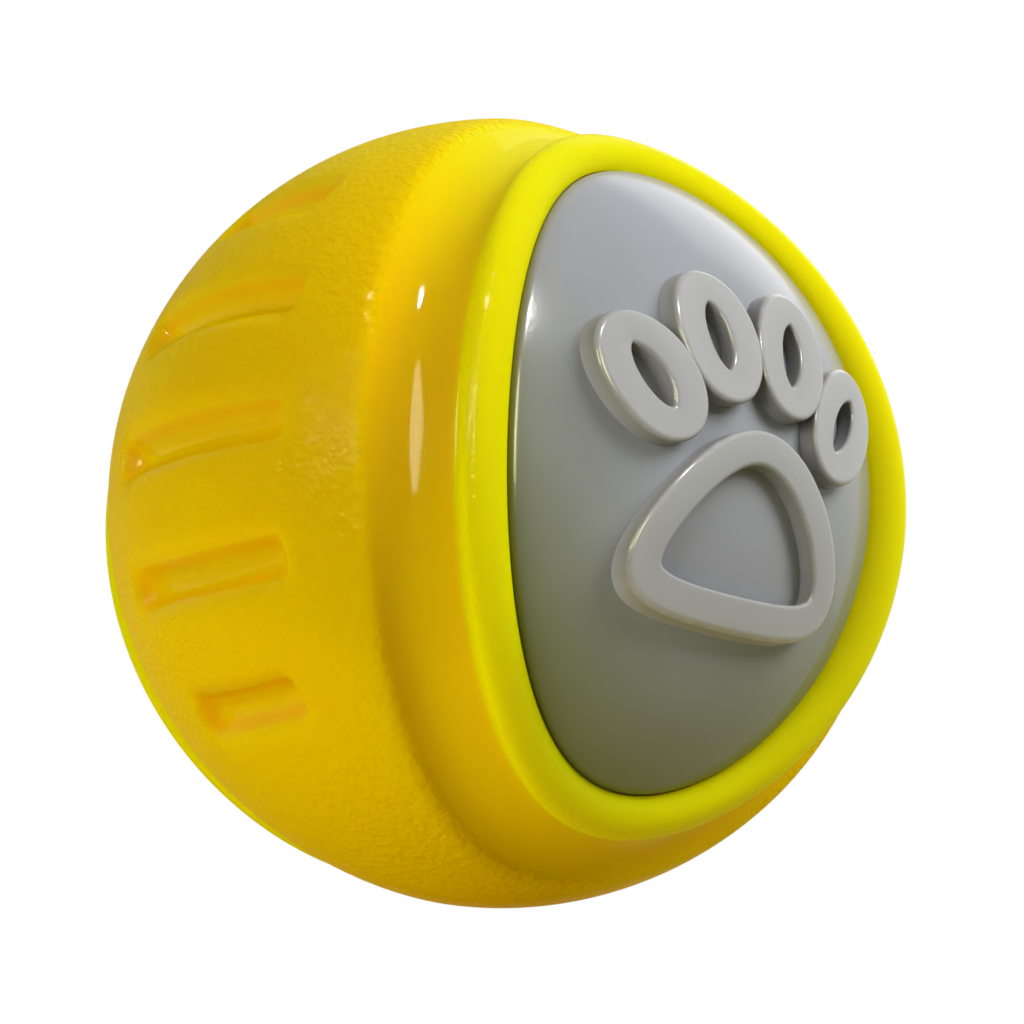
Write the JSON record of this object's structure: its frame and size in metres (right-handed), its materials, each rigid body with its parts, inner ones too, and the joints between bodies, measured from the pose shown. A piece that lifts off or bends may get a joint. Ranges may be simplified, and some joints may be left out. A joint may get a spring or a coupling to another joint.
{
  "type": "squeaky dog ball",
  "caption": "Soft yellow dog ball with grip slots and a lipped oval window at each side, where a sprung grey press pad with a raised paw print works a bellows squeaker.",
  "frame": {"origin": "centre of the ball", "axes": "+X out of the right press pad, the one in the picture; +Z along the long axis of the oval windows; -Y towards the row of grip slots in the picture"},
  "size_m": [0.0768, 0.0756, 0.076],
  "materials": {
    "yellow_rubber": "glossy moulded rubber with a fine leather grain on the bands",
    "grey_rubber": "satin moulded rubber",
    "white_plastic": "matt moulded",
    "black_plastic": "matt moulded",
    "clear_vinyl": "cloudy soft vinyl",
    "brass": "rolled strip",
    "steel": "plain"
  },
  "bodies": {
    "ball": {"outer_jacket": "yellow_rubber", "carrier": "black_plastic", "squeaker_barrel_right": "white_plastic", "squeaker_barrel_left": "white_plastic", "reed_plug_right": "white_plastic", "reed_plug_left": "white_plastic", "reed_right": "brass", "reed_left": "brass", "reed_rivet_right": "steel", "reed_rivet_left": "steel", "inner_clip_right": "black_plastic", "inner_clip_left": "black_plastic", "bellows_right": "clear_vinyl", "bellows_left": "clear_vinyl"},
    "right_pad": {"press_pad_right": "grey_rubber", "pad_plate_right": "white_plastic", "outer_clip_right": "black_plastic"},
    "left_pad": {"press_pad_left": "grey_rubber", "pad_plate_left": "white_plastic", "outer_clip_left": "black_plastic"}
  },
  "joints": [
    {"name": "right_pad_press", "type": "slide", "parent": "ball", "child": "right_pad", "axis": [-1, 0, 0], "range_m": [0, 0.003], "stiffness_N_per_m": 1500, "deforming": ["bellows_right"]},
    {"name": "left_pad_press", "type": "slide", "parent": "ball", "child": "left_pad", "axis": [1, 0, 0], "range_m": [0, 0.003], "stiffness_N_per_m": 1500, "deforming": ["bellows_left"]}
  ]
}
